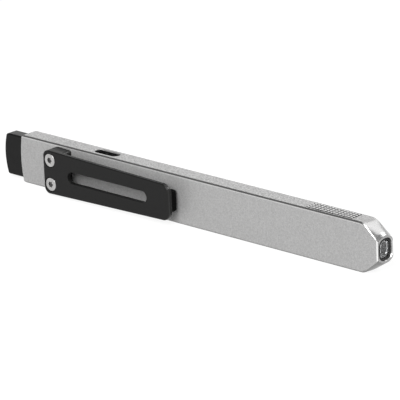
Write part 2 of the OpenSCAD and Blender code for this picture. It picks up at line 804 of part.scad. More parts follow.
// One clip screw with a six-lobe recess, its axis along y
module clip_screw() difference() {
    bevel = head_h / 4;
    union() {
        along_y(clip_y + bevel, head_y) circle(d = head_d);
        translate([0, clip_y + bevel, 0]) rotate([90, 0, 0])
            cylinder(d1 = head_d, d2 = head_d - 2 * bevel, h = bevel);
        along_y(head_y - fit, nut_y - air) circle(d = shank_d);
    }
    along_y(clip_y - past, clip_y + recess_depth) union() {
        circle(d = recess_d * 0.75);
        for (a = [0:60:300]) rotate(a) translate([recess_d * 0.36, 0]) circle(d = recess_d * 0.28);
    }
}

module clip_screws() color(steel) standing() screw_places() clip_screw();

housing();
lens();
lens_gasket();
reflector();
led_emitter();
led_board();
heat_spreader();
led_wire_positive();
led_wire_negative();
chassis();
main_board();
driver_inductor();
driver_chips();
driver_passives();
usb_shell();
usb_tongue();
switch_body();
switch_plunger();
battery_cell();
battery_pad();
battery_protection_board();
battery_tabs();
tail_frame();
nut_plate();
tail_button();
button_seal();
button_springs();
clip();
clip_screws();
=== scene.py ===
import json
import math
from functools import partial

import bmesh
import bpy
from mathutils import Matrix, Vector

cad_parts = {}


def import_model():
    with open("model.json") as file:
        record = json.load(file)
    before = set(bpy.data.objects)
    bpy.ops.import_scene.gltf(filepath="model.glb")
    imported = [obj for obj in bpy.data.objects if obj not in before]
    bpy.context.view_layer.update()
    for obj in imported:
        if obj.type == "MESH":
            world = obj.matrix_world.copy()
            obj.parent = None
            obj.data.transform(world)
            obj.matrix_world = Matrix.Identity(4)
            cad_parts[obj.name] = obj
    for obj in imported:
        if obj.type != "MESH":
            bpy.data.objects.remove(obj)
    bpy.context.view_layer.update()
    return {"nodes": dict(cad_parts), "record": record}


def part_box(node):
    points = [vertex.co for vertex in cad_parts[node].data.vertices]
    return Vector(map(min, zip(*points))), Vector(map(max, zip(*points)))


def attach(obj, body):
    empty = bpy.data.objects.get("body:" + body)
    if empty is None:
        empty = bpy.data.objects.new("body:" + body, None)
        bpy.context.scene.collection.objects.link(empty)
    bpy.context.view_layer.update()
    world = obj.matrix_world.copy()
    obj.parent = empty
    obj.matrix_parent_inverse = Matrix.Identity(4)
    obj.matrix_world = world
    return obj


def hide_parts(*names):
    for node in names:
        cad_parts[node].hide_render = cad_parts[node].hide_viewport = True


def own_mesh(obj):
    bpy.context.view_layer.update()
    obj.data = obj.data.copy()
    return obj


# Looks of a slim rechargeable penlight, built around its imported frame: a flat bar that stands on its lower
# narrow side, with +X from the tail to the nose, the clip on the -Y face and the charging socket on top.

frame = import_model()

MM = 0.001
WELD = 1e-7

# The bar: its box from the frame, and the sizes that only its source holds
body_low, body_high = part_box("housing")
port = next(Vector(m["pos_m"]) for m in frame["record"]["mounts"] if m["name"] == "charging_port")
top_z = port.z
mid_z = (body_low.z + top_z) / 2
half_w = (top_z - body_low.z) / 2
half_t = body_high.y
tail_x = body_low.x
front_x = body_high.x
CHAMFER = 0.4 * MM
CORNER = 0.08 * MM
FACE_ROLL = 0.6 * MM
TAIL_SAG = 0.7 * MM
TAIL_CORNER = 0.8 * MM
TAIL_EDGE = 0.12 * MM
MOUTH_EDGE = 0.08 * MM
SIDE_WALL = 0.8 * MM
EDGE_WALL = 0.9 * MM
HOLLOW_CORNER = 0.4 * MM
TAIL_INSETS = [s * MM for s in (0.5, 0.35, 0.25, 0.18, 0.12, 0.08, 0.05, 0.03, 0.015, 0.005, 0)]
hollow_t = 2 * (half_t - SIDE_WALL)
hollow_w = 2 * (half_w - EDGE_WALL)

# The straight part behind a bowed end starts at this many times its sag
STRAIGHT_FROM = 3

# The nose
NOSE_L = 5.25 * MM
TIP_LEAD = 0.3 * MM
TIP_SLANT = 0.4 * MM
TIP_STEP = 0.12 * MM
RIM_STEP = 1.25 * TIP_STEP
TIP_W = 8.0 * MM
TIP_R = 3.9 * MM
TIP_EDGE = 0.2 * MM
TIP_FAR_EDGE = 1.1 * MM
NOSE_BEND = 1.5 * MM
NOSE_EDGE = 0.6 * MM
RIM_BEND = 0.08 * MM
RING_SEAM = 0.18 * MM
RING_SEAM_DEPTH = 0.22 * MM
MOUTH_FLARE = 0.2 * MM
MOUTH_DEPTH = 0.4 * MM
NOSE_SHARES = (0.45, 0.6, 0.75)
FACE_SHARE = 0.25
BRINK_SHARE = 0.85
FLARE_SHARE = 0.2
taper_x = front_x - TIP_LEAD
nose_x = taper_x - NOSE_L
tip_centre = TIP_W / 2 - TIP_R

# The window and the bore behind it
lens_low, lens_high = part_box("lens")
gasket_low, gasket_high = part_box("lens_gasket")
FIT = 0.05 * MM
LENS_CORNER = 1.4 * MM
LENS_LEDGE = 0.2 * MM
LENS_SOFT = 0.3 * MM
LENS_CROWN = 0.05 * MM
LENS_INNER_R = 0.1 * MM
CROWN_SHARES = (0.2, 0.4, 0.6, 0.8, 0.95)
lens_t = lens_high.y - lens_low.y
lens_w = lens_high.z - lens_low.z
pocket_t = gasket_high.y - gasket_low.y + FIT
pocket_w = gasket_high.z - gasket_low.z + FIT
gasket_wall = (pocket_w - lens_w) / 2
bore_t = lens_t - 2 * LENS_LEDGE
bore_w = lens_w - 2 * LENS_LEDGE
REFLECTOR_L = 9.9 * MM
shoulder_x = lens_low.x - REFLECTOR_L

# The grip patch
GRIP_START = 110 * MM
GRIP_COUNT = 16
GRIP_ROWS = 4
GRIP_PITCH = 1.02 * MM
GRIP_TOP_L = 0.84 * MM
GRIP_TOP_W = 0.57 * MM
GRIP_H = 0.1 * MM
GRIP_SINK = 0.1 * MM
GRIP_MARGIN = 0.1 * MM
GRIP_GROOVE = 0.03 * MM
GRIP_EDGE = 0.02 * MM

# The charging socket
PORT_L = 8.94 * MM
PORT_T = 3.26 * MM
PORT_RIM = 0.08 * MM
PORT_LIT = 0.3 * MM
PORT_STEPS = 21
tongue_low, tongue_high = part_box("usb_tongue")
TONGUE_L = 6.69 * MM
TONGUE_T = 0.7 * MM
TONGUE_BASE = 2.2 * MM
TONGUE_BEVEL = 0.15 * MM
CONTACT_COUNT = 12
CONTACT_PITCH = 0.5 * MM
CONTACT_W = 0.27 * MM
CONTACT_L = 2.6 * MM
CONTACT_H = 0.04 * MM
CONTACT_BEVEL = CONTACT_H / 3
CONTACT_DROP = 3 * FIT

# The clip and its screws
clip_low, clip_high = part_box("clip")
screw_low, screw_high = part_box("clip_screws")
CLIP_TAPER = 1.15 * MM
CLIP_ROOT_R = 2.0 * MM
CLIP_FREE_R = 2.8 * MM
CLIP_PLATE = 1.2 * MM
CLIP_BEVEL = 0.3 * MM
CLIP_UNDER = 0.1 * MM
ROOT_L = 7.2 * MM
ROOT_R = 0.8 * MM
SEAM = 0.02 * MM
SLOT_START = 9.7 * MM
SLOT_L = 31.2 * MM
SLOT_W = 3.4 * MM
SLOT_RIM = 0.12 * MM
PAD_GAP = 0.4 * MM
PAD_L = 3.0 * MM
PAD_W = 5.8 * MM
PAD_R = 1.2 * MM
PAD_EDGE = 0.3 * MM
PAD_SETBACK = 0.4 * MM
HEAD_H = 0.9 * MM
HEAD_GAP = 0.15 * MM
HEAD_EDGE = 0.22 * MM
HEAD_DOME = 0.06 * MM
SHANK_D = 2.0 * MM
SHANK_GAP = 0.1 * MM
SHANK_BEVEL = 0.15 * SHANK_D
HOLE_R = SHANK_D / 2 + SHANK_GAP
HOLE_STEPS = 30
SCREW_STEPS = 96
HEAD_CROWN = 0.7
HEAD_CROWN_DROP = 0.3 * HEAD_DOME
STAR_R = 0.9 * MM
STAR_LOBE = 0.14 * MM
STAR_LOBES = 6
STAR_DEPTH = 0.55 * MM
RECESS_FROM = 0.02 * MM
plate_y = clip_low.y + CLIP_PLATE
clip_free_w = clip_high.z - clip_low.z - 2 * CLIP_TAPER
head_d = screw_high.x - screw_low.x
screw_x = (screw_high.x + screw_low.x) / 2
screw_heights = (screw_low.z + head_d / 2, screw_high.z - head_d / 2)

# A screw's recess from its mouth down, as (scale of the star, depth), and its point, as shares of the star's
# radius and depth
STAR_STEPS = ((1.1, 0), (1.0, 0.06 * MM), (0.94, STAR_DEPTH))
STAR_POINT = ((0.3, 1.15), (0.02, 1.2))

# The tail button and its springs
button_low, button_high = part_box("tail_button")
spring_low, spring_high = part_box("button_springs")
plunger_low, plunger_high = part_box("switch_plunger")
button_t = button_high.y - button_low.y
button_w = button_high.z - button_low.z
BUTTON_SAG = 1.0 * MM
BUTTON_CORNER = 0.8 * MM
BUTTON_EDGE = 0.5 * MM
BUTTON_INNER_R = 0.3 * MM
BUTTON_RIM = 0.42 * MM
BUTTON_IN = 2.2 * MM
BUTTON_BEVEL = 0.15 * MM
BUTTON_INSETS = [s * MM for s in (1.6, 1.4, 1.1, 0.8, 0.6, 0.42, 0.32, 0.24, 0.17, 0.11, 0.06, 0.03, 0.01, 0)]
SEAL_START = 0.9 * MM
SEAL_L = 0.6 * MM
SEAL_DEPTH = 0.35 * MM
POST_D = 1.7 * MM
POST_GAP = 0.03 * MM
LEG_Z = 4.4 * MM
LEG_T = 0.7 * MM
LEG_B = 1.9 * MM
LEG_TOP_Y = 0.4 * MM
HOOK_L = 1.0 * MM
HOOK_H = 0.8 * MM
SPRING_POCKET = 1.0 * MM
SPRING_ROOM = 0.15 * MM
SPRING_WIRE = 0.25 * MM
SPRING_TURNS = 4
SPRING_STEPS = 32
WIRE_STEPS = 10

# The span that noise mostly keeps to, and the width of a board's tracks in its cells
NOISE_SPAN = (0.3, 0.7)
TRACK_SPAN = (0.05, 0.09)

FINISHES = {}


class Finish:
    """A material's node tree, with short ways to add what the finishes below need."""

    def __init__(self, name):
        self.material = bpy.data.materials.new(name)
        self.material.use_nodes = True
        FINISHES[name] = self.material
        self.nodes = self.material.node_tree.nodes
        self.links = self.material.node_tree.links
        self.shader = self.nodes["Principled BSDF"]
        self.place = self.nodes.new("ShaderNodeTexCoord").outputs["Object"]

    def set(self, **values):
        """Sets the shader's own sockets; an underscore in a name stands for a space."""
        for name, value in values.items():
            self.shader.inputs[name.replace("_", " ")].default_value = value

    def link(self, name, source):
        self.links.new(source, self.shader.inputs[name])

    def stretched(self, stretch):
        mapping = self.nodes.new("ShaderNodeMapping")
        mapping.inputs["Scale"].default_value = stretch
        self.links.new(self.place, mapping.inputs["Vector"])
        return mapping.outputs["Vector"]

    def noise(self, size, detail=2.0, stretch=None):
        """Noise with features of a size in metres."""
        node = self.nodes.new("ShaderNodeTexNoise")
        node.inputs["Scale"].default_value = 1 / size
        node.inputs["Detail"].default_value = detail
        self.links.new(self.stretched(stretch) if stretch else self.place, node.inputs["Vector"])
        return node.outputs[0]

    def cells(self, size, feature):
        node = self.nodes.new("ShaderNodeTexVoronoi")
        node.feature = feature
        node.inputs["Scale"].default_value = 1 / size
        self.links.new(self.place, node.inputs["Vector"])
        return node.outputs["Distance"]

    def between(self, source, low, high):
        node = self.nodes.new("ShaderNodeMapRange")
        for name, value in zip(("From Min", "From Max", "To Min", "To Max"), (*NOISE_SPAN, low, high)):
            node.inputs[name].default_value = value
        self.links.new(source, node.inputs["Value"])
        return node.outputs["Result"]

    def ramp(self, source, low, high, span=NOISE_SPAN):
        """Colours from low to high as the source goes over a span."""
        node = self.nodes.new("ShaderNodeValToRGB")
        first, last = node.color_ramp.elements
        first.position, first.color = span[0], (*low, 1)
        last.position, last.color = span[1], (*high, 1)
        self.links.new(source, node.inputs["Fac"])
        return node.outputs["Color"]

    def bump(self, source, height, strength=1.0):
        node = self.nodes.new("ShaderNodeBump")
        node.inputs["Strength"].default_value = strength
        node.inputs["Distance"].default_value = height
        self.links.new(source, node.inputs["Height"])
        self.link("Normal", node.outputs["Normal"])


def grey(value, warmth=0.0):
    """A grey a little warmer or cooler than neutral."""
    return (value * (1 + warmth), value, value * (1 - warmth))


def grained(name, size, colours, roughness, relief, detail=2.0, stretch=None, tint=None, wear=None, **values):
    """A finish from one grain; tint and wear give noises of their own for the colour and the roughness."""
    finish = Finish(name)
    grain = finish.noise(size, detail, stretch)
    finish.link("Base Color", finish.ramp(finish.noise(tint) if tint else grain, *colours))
    finish.link("Roughness", finish.between(finish.noise(*wear) if wear else grain, *roughness))
    if relief:
        finish.bump(grain, relief)
    finish.set(**values)
    return finish.material


def satin_aluminium(name, low, high, grain_size):
    """Bead-blasted aluminium under clear anodising: a fine even grain that scatters the light."""
    return grained(name, grain_size, (grey(low, 0.004), grey(high, 0.004)), (0.46, 0.52), 0.04 * MM,
                   detail=4, wear=(9 * MM,), Metallic=0.2)


def machined_aluminium(name, base, roughness):
    """Cut faces of the same bar, smoother than the blasted ones."""
    return grained(name, 0.12 * MM, (grey(base, 0.004), grey(base + 0.08, 0.004)),
                   (roughness - 0.04, roughness + 0.04), 0.004 * MM, Metallic=0.95)


def black_aluminium(name, low, high, roughness, gloss):
    """Black anodised aluminium with a trace of milling along the plate."""
    return grained(name, 0.14 * MM, (grey(low, 0.02), grey(high, 0.02)), roughness, 0.006 * MM,
                   detail=3, wear=(0.5 * MM, 2, (0.06, 1, 1)), Specular_IOR_Level=gloss)


def moulded(name, low, high, roughness, grain_size=0.15 * MM):
    """A moulded or insulated piece: two close colours in a fine grain."""
    grained(name, grain_size, (low, high), (roughness - 0.06, roughness + 0.06), 0.05 * grain_size, detail=3)


def printed_board(name, mask, track):
    """A circuit board's solder mask over paler tracks."""
    finish = Finish(name)
    tracks = finish.cells(1.1 * MM, "DISTANCE_TO_EDGE")
    finish.link("Base Color", finish.ramp(tracks, track, mask, TRACK_SPAN))
    finish.link("Roughness", finish.between(finish.noise(0.3 * MM), 0.28, 0.4))
    finish.bump(tracks, 0.02 * MM, strength=0.4)


def clear_window():
    """A clear moulded optic with a lightly pebbled face."""
    finish = Finish("clear_window")
    pebble = finish.cells(0.55 * MM, "SMOOTH_F1")
    finish.link("Roughness", finish.between(pebble, 0.06, 0.12))
    finish.bump(pebble, 0.05 * MM)
    finish.set(Base_Color=(0.95, 0.96, 0.97, 1), Transmission_Weight=1.0, IOR=1.49)


# The finishes of the record's slots, from the bar inwards
satin_aluminium("satin_aluminium", 0.41, 0.57, 0.3 * MM)
black_aluminium("black_aluminium", 0.005, 0.01, (0.34, 0.44), gloss=0.18)
grained("black_plastic", 0.12 * MM, (grey(0.005), grey(0.008)), (0.3, 0.38), 0.008 * MM,
        detail=4, tint=3 * MM, Specular_IOR_Level=0.14)
grained("black_rubber", 0.1 * MM, (grey(0.01), grey(0.022)), (0.5, 0.7), 0.006 * MM, detail=3, tint=0.8 * MM)
grained("stainless", 0.09 * MM, (grey(0.4, 0.01), grey(0.5, 0.01)), (0.2, 0.34), 0.003 * MM,
        tint=1.5 * MM, Metallic=1.0)
moulded("tongue_plastic", grey(0.012), grey(0.02), 0.5)
clear_window()
grained("mirror_coat", 0.4 * MM, (grey(0.82), grey(0.92)), (0.12, 0.22), 0.01 * MM, Metallic=1.0)
grained("emitter_yellow", 0.08 * MM, ((0.72, 0.5, 0.08), (0.86, 0.68, 0.2)), (0.3, 0.3), 0.004 * MM,
        Coat_Weight=1.0, Coat_Roughness=0.05)
printed_board("white_board", grey(0.78, 0.02), grey(0.6, 0.03))
printed_board("green_board", (0.012, 0.11, 0.035), (0.04, 0.22, 0.08))
grained("bare_aluminium", 0.12 * MM, (grey(0.52), grey(0.64)), (0.3, 0.42), 0.01 * MM,
        stretch=(1, 0.08, 0.08), Metallic=1.0)
grained("cell_foil", 1.6 * MM, (grey(0.45, -0.02), grey(0.56, -0.02)), (0.28, 0.4), 0.06 * MM,
        detail=4, Metallic=1.0)
moulded("red_insulation", (0.38, 0.015, 0.01), (0.52, 0.03, 0.02), 0.4)
moulded("black_insulation", grey(0.014), grey(0.024), 0.4)
moulded("inner_plastic", grey(0.035), grey(0.06), 0.55)
moulded("switch_plastic", grey(0.54, 0.03), grey(0.63, 0.03), 0.5)
moulded("component_black", grey(0.02), grey(0.035), 0.5)
moulded("component_tan", (0.38, 0.26, 0.11), (0.5, 0.37, 0.18), 0.45)
moulded("foam_tape", (0.6, 0.55, 0.45), (0.75, 0.7, 0.6), 0.85, 0.3 * MM)

# Finishes for parts of a piece: dark copies that paint shade into deep places, where little light comes back,
# and the socket's plated contacts
grained("groove_painted_shade", 0.2 * MM, (grey(0.025), grey(0.04)), (0.5, 0.6), 0.006 * MM,
        detail=3, Metallic=0.4)
grained("recess_painted_shade", 0.1 * MM, (grey(0.05), grey(0.12)), (0.25, 0.4), 0.004 * MM, Metallic=0.9)
grained("gold", 0.2 * MM, ((0.75, 0.5, 0.18), (0.88, 0.64, 0.28)), (0.2, 0.32), relief=None, Metallic=1.0)


def make_object(name, mesh_builder):
    """A new object at the origin from a bmesh, welded, with its normals outward."""
    bmesh.ops.remove_doubles(mesh_builder, verts=mesh_builder.verts, dist=WELD)
    bmesh.ops.recalc_face_normals(mesh_builder, faces=mesh_builder.faces)
    mesh = bpy.data.meshes.new(name)
    mesh_builder.to_mesh(mesh)
    mesh_builder.free()
    obj = bpy.data.objects.new(name, mesh)
    bpy.context.scene.collection.objects.link(obj)
    return obj


def add_loft(mesh_builder, rings, wrap=False):
    """Skins rings of equally many points; wrap joins the last to the first, and else both ends are closed."""
    loops = [[mesh_builder.verts.new(p) for p in points] for points in rings]
    following = loops[1:] + (loops[:1] if wrap else [])
    for one, two in zip(loops, following):
        for i in range(len(one)):
            j = (i + 1) % len(one)
            mesh_builder.faces.new((one[i], one[j], two[j], two[i]))
    if not wrap:
        mesh_builder.faces.new(reversed(loops[0]))
        mesh_builder.faces.new(loops[-1])


def loft(name, rings, wrap=False):
    mesh_builder = bmesh.new()
    add_loft(mesh_builder, rings, wrap)
    return make_object(name, mesh_builder)


def combine(obj, other, operation):
    """Cuts (DIFFERENCE) or adds (UNION) another mesh, which is then removed."""
    modifier = obj.modifiers.new("combine", "BOOLEAN")
    modifier.operation = operation
    modifier.solver = "EXACT"
    modifier.object = other
    graph = bpy.context.evaluated_depsgraph_get()
    result = bpy.data.meshes.new_from_object(obj.evaluated_get(graph))
    obj.modifiers.clear()
    obj.data = result
    bpy.data.objects.remove(other)


def smooth(obj, angle=32):
    """Smooth shading that keeps edges over an angle, and flat faces flat."""
    obj.data.polygons.foreach_set("use_smooth", [True] * len(obj.data.polygons))
    obj.data.set_sharp_from_angle(angle=math.radians(angle))
    weighted = obj.modifiers.new("weighted_normals", "WEIGHTED_NORMAL")
    weighted.keep_sharp = True


def second_finish(obj, material, chosen):
    """Adds a finish for the faces that a test of (middle, normal) picks."""
    obj.data.materials.append(material)
    index = len(obj.data.materials) - 1
    for face in obj.data.polygons:
        if chosen(face.center, face.normal):
            face.material_index = index


def dress(obj, body, slot, *nodes):
    """Gives a piece its finish and its body, and hides the nodes it stands for."""
    if not obj.data.materials:
        obj.data.materials.append(FINISHES[slot])
    smooth(obj)
    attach(obj, body)
    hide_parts(*nodes)
    return obj


# Angles of the outward normal over a quarter of a section; 45 degrees comes twice, for a chamfer's two ends
ARC_STEP = 5
QUARTER = [(a, 0) for a in range(0, 46, ARC_STEP)] + [(a, 1) for a in range(45, 91, ARC_STEP)]
SIDE_STEPS = 24
TOP_STEPS = 12

# How far a cut's rounded rim turns, in degrees, and by what share of its radius a rounded end draws in
RIM_TURN = 82
EDGE_SHARE = 0.9


def arc(steps, turn=90):
    """Angles from 0 to a turn given in degrees, in even steps."""
    return [math.radians(turn) * i / steps for i in range(steps + 1)]


def circle(steps):
    """Angles all the way round, each once."""
    return arc(steps, 360)[:-1]


def between(a, b, share):
    """The pair at a share of the way from one (y, z) pair to another."""
    return (a[0] + (b[0] - a[0]) * share, a[1] + (b[1] - a[1]) * share)


def blend(one, two, share):
    """The section at a share of the way from one section to another."""
    return [between(a, b, share) for a, b in zip(one, two)]


def section(point, top=None):
    """A closed ring of (y, z) pairs: point(angle, half) gives a corner, top(share) the way to its middle."""
    quarter = [point(math.radians(a), half) for a, half in QUARTER]
    corner_y, corner_z = quarter[-1]
    for i in range(1, TOP_STEPS):
        share = 1 - i / TOP_STEPS
        quarter.append(top(share) if top else (share * corner_y, corner_z))
    middle = top(0) if top else (0, corner_z)
    upper = quarter + [middle] + [(-y, z) for y, z in reversed(quarter)]
    lower = [(-y, -z) for y, z in upper]
    shares = [i / SIDE_STEPS for i in range(1, SIDE_STEPS)]
    left = [between(upper[-1], lower[0], s) for s in shares]
    right = [between(lower[-1], upper[0], s) for s in shares]
    return upper + left + lower + right


def bar_point(angle, half, inset=0.0):
    """The bar's section: a rectangle with chamfered edges and softened corners, drawn in by inset."""
    radius = CORNER if half else FACE_ROLL
    shift = inset + radius
    diagonal = half_t + half_w - CHAMFER - shift * math.sqrt(2)
    if half == 0:
        y = half_t - shift
        z = diagonal - y
    else:
        z = half_w - shift
        y = diagonal - z
    return (y + radius * math.cos(angle), z + radius * math.sin(angle))


def tip_corner(edge):
    """Centre of the circle that softens the tip's corner, and the angle at which it meets the round top."""
    y = half_t - edge
    z = math.sqrt((TIP_R - edge) ** 2 - y ** 2)
    return y, z, math.atan2(z, y)


def tip_point(angle, half, edge):
    """A corner of the nose's end, where a wide face cuts off its round top, with a softened edge."""
    y, z, meets = tip_corner(edge)
    a = meets * angle / math.radians(90)
    return (y + edge * math.cos(a), tip_centre + z + edge * math.sin(a))


def tip_top(share, edge):
    """The round top of the nose's end, at a share of the way from its middle to its corner."""
    y = share * TIP_R * math.cos(tip_corner(edge)[2])
    return (y, tip_centre + math.sqrt(TIP_R ** 2 - y ** 2))


def tip_section():
    """The nose's end, with a sharper edge on the clip's side than on the far side."""
    near, far = [section(partial(tip_point, edge=edge), partial(tip_top, edge=edge))
                 for edge in (TIP_EDGE, TIP_FAR_EDGE)]
    return [b if b[0] > 0 else a for a, b in zip(near, far)]


def drawn_in(pairs, inset):
    """The nose's end made smaller all round by an inset."""
    return [(y * (1 - inset / half_t), z * (1 - 2 * inset / TIP_W)) for y, z in pairs]


def round_point(angle, half, t, w, r):
    """A rectangle with round corners."""
    return (t / 2 - r + r * math.cos(angle), w / 2 - r + r * math.sin(angle))


def round_section(t, w, r, grow=0.0):
    return section(partial(round_point, t=t + 2 * grow, w=w + 2 * grow, r=r + grow))


def ring(pairs, x):
    """A section's points at x, which is a place or a function of the point's y and z."""
    return [Vector((x(y, z) if callable(x) else x, y, mid_z + z)) for y, z in pairs]


def face_ring(pairs, y):
    """Points of an outline drawn on the wide face, at y."""
    return [Vector((u, y, mid_z + v)) for u, v in pairs]


def level_ring(pairs, z):
    """Points of an outline drawn on a level, at z."""
    return [Vector((u, v, z)) for u, v in pairs]


def oblique(x, share=1.0):
    """A place along the nose, set back on the clip's side by a share of the front's slant."""
    return lambda y, z: x - share * TIP_SLANT * (1 - y / half_t) / 2


def bent(before, corner, after, steps=4):
    """Rings of a curve that leaves one ring, bends at a second and ends at a third."""
    rings = []
    for i in range(steps + 1):
        s = i / steps
        first, second, third = (1 - s) ** 2, 2 * s * (1 - s), s * s
        rings.append([p * first + q * second + r * third for p, q, r in zip(before, corner, after)])
    return rings


def bowed_end(z, apex, height, sag, corner_r):
    """Where an end that bows out by sag and has round corners lies, at a height from its middle."""
    big = (height * height / 4 + sag * sag) / (2 * sag)
    centre = apex + big
    corner_z = height / 2 - corner_r
    corner_x = centre - math.sqrt((big - corner_r) ** 2 - corner_z ** 2)
    if abs(z) <= corner_z * big / (big - corner_r):
        return centre - math.sqrt(big * big - z * z)
    return corner_x - math.sqrt(max(corner_r ** 2 - (abs(z) - corner_z) ** 2, 0))


def edge_drop(inset, radius):
    """How far a rounded edge falls back at a distance from the outline."""
    if inset >= radius:
        return 0.0
    return radius - math.sqrt(radius ** 2 - (radius - inset) ** 2)


def end_rings(inset_section, insets, apex, height, sag, corner_r, edge):
    """Rings over a bowed end, from the largest inset out to its rounded edge."""
    rings = []
    for inset in insets:
        drop = edge_drop(inset, edge)
        rings.append(ring(inset_section(inset),
                          lambda y, z: bowed_end(z, apex, height, sag, corner_r) + drop))
    return rings


def housing_rings():
    """Rings from the tail's mouth over the outside to the nose, and back through the bore and the hollow."""
    hollow = round_section(hollow_t, hollow_w, HOLLOW_CORNER)
    mouth = round_section(hollow_t, hollow_w, HOLLOW_CORNER, grow=MOUTH_EDGE)
    bar = section(bar_point)
    tip = tip_section()
    side = drawn_in(tip, TIP_STEP)
    rim = drawn_in(tip, RIM_STEP)
    pocket = round_section(pocket_t, pocket_w, LENS_CORNER + gasket_wall)
    mouth_edge = round_section(pocket_t, pocket_w, LENS_CORNER + gasket_wall, grow=MOUTH_FLARE)
    bore = round_section(bore_t, bore_w, LENS_CORNER - LENS_LEDGE)
    nose = partial(blend, bar, tip)
    lip = partial(blend, side, rim)

    def tail(y, z):
        return bowed_end(z, tail_x, 2 * half_w, TAIL_SAG, TAIL_CORNER)

    rings = [ring(hollow, lambda y, z: tail(y, z) + MOUTH_EDGE), ring(mouth, tail)]
    rings += end_rings(lambda inset: section(partial(bar_point, inset=inset)), TAIL_INSETS,
                       tail_x, 2 * half_w, TAIL_SAG, TAIL_CORNER, TAIL_EDGE)
    rings.append(ring(bar, tail_x + STRAIGHT_FROM * TAIL_SAG))
    bend = NOSE_BEND / NOSE_L
    rings += bent(ring(bar, nose_x - NOSE_BEND), ring(bar, nose_x),
                  ring(nose(bend), oblique(nose_x + NOSE_BEND, bend)), steps=8)
    rings += [ring(nose(s), oblique(nose_x + s * NOSE_L, s)) for s in NOSE_SHARES]
    seam = RING_SEAM / 2
    over = 1 - NOSE_EDGE / NOSE_L
    rings += bent(ring(nose(over), oblique(nose_x + over * NOSE_L, over)),
                  ring(tip, oblique(taper_x - NOSE_EDGE / 2)),
                  ring(drawn_in(tip, RING_SEAM_DEPTH), oblique(taper_x)), steps=6)
    rings.append(ring(lip(seam / TIP_LEAD), oblique(taper_x + seam)))
    ahead = RIM_BEND / TIP_LEAD
    face = blend(rim, mouth_edge, FACE_SHARE)
    brink = blend(rim, mouth_edge, BRINK_SHARE)
    flare = blend(mouth_edge, pocket, FLARE_SHARE)
    rings += bent(ring(lip(1 - ahead), oblique(front_x - RIM_BEND)), ring(rim, oblique(front_x)),
                  ring(face, oblique(front_x)))
    rings += bent(ring(brink, oblique(front_x)), ring(mouth_edge, oblique(front_x)),
                  ring(flare, oblique(front_x - FLARE_SHARE * MOUTH_DEPTH)), steps=2)
    rings.append(ring(pocket, oblique(front_x - MOUTH_DEPTH)))
    inside = ((pocket, lens_low.x), (bore, lens_low.x), (bore, shoulder_x), (hollow, shoulder_x))
    return rings + [ring(pairs, x) for pairs, x in inside]


def tangent_angle(one, two):
    """Direction of the outward normal of the line that touches two corner circles, taken anticlockwise."""
    along = math.atan2(two[1] - one[1], two[0] - one[0])
    apart = math.hypot(two[0] - one[0], two[1] - one[1])
    return along - math.acos((one[2] - two[2]) / apart)


def outline(corners, inset=0.0, step=9):
    """Points round the convex outline of corner circles (u, v, radius) in anticlockwise order."""
    angles = [tangent_angle(corners[i], corners[(i + 1) % len(corners)]) for i in range(len(corners))]
    points = []
    for i, (u, v, r) in enumerate(corners):
        turn = (angles[i] - angles[i - 1]) % (2 * math.pi)
        count = max(1, round(math.degrees(turn) / step))
        for k in range(count + 1):
            a = angles[i - 1] + turn * k / count
            points.append((u + (r - inset) * math.cos(a), v + (r - inset) * math.sin(a)))
    return points


def stadium(u, v, length, width):
    """The two corner circles of a slot along u."""
    reach = (length - width) / 2
    return [(u - reach, v, width / 2), (u + reach, v, width / 2)]


def flared(reach, rim, steps=5):
    """Steps of a cut with a rounded rim, as (depth, growth all round), from deep to above the surface."""
    levels = [(reach, 0.0), (rim, 0.0)]
    for a in arc(steps, RIM_TURN)[1:]:
        levels.append((rim * (1 - math.sin(a)), rim * (1 - math.cos(a))))
    return levels + [(-reach, levels[-1][1])]


def port_cutter():
    corners = stadium(port.x, port.y, PORT_L, PORT_T)
    levels = flared(2 * EDGE_WALL, PORT_RIM)
    levels.insert(1, (PORT_RIM + PORT_LIT, 0))
    return loft("port_cutter", [level_ring(outline(corners, -grow, 180 / PORT_STEPS), top_z - depth)
                                for depth, grow in levels])


def turned(name, z, stations, steps=64):
    """A solid turned about a screw's axis, from stations of (radius or a function of the angle, y)."""
    rings = []
    for radius, y in stations:
        points = []
        for a in circle(steps):
            r = radius(a) if callable(radius) else radius
            points.append(Vector((screw_x + r * math.cos(a), y, z + r * math.sin(a))))
        rings.append(points)
    return loft(name, rings)


def add_stud(mesh_builder, x, y):
    """One stud of the grip patch, with its foot below the surface."""
    foot = GRIP_PITCH - GRIP_GROOVE
    levels = [(-2 * GRIP_SINK, foot, foot), (-GRIP_SINK, foot, foot),
              (GRIP_H - GRIP_EDGE, GRIP_TOP_L + GRIP_EDGE, GRIP_TOP_W + GRIP_EDGE),
              (GRIP_H, GRIP_TOP_L - GRIP_EDGE, GRIP_TOP_W - GRIP_EDGE)]
    signs = [(1, 1), (-1, 1), (-1, -1), (1, -1)]
    add_loft(mesh_builder, [level_ring([(x + a * along / 2, y + b * across / 2) for a, b in signs], top_z + h)
                            for h, along, across in levels])


def grip_studs():
    mesh_builder = bmesh.new()
    for i in range(GRIP_COUNT):
        for k in range(GRIP_ROWS):
            x = tail_x + GRIP_START + (i + 0.5) * GRIP_PITCH
            y = (k + 0.5 - GRIP_ROWS / 2) * GRIP_PITCH
            add_stud(mesh_builder, x, y)
    return make_object("grip_studs", mesh_builder)


def grip_field():
    """Cutter of the shallow field that the grip's studs stand in."""
    start = tail_x + GRIP_START - GRIP_MARGIN
    end = tail_x + GRIP_START + GRIP_COUNT * GRIP_PITCH + GRIP_MARGIN
    half = GRIP_ROWS * GRIP_PITCH / 2 + GRIP_MARGIN
    corners = [(start, -half), (end, -half), (end, half), (start, half)]
    return loft("grip_field", [level_ring(corners, z) for z in (top_z - GRIP_SINK, top_z + MM)])


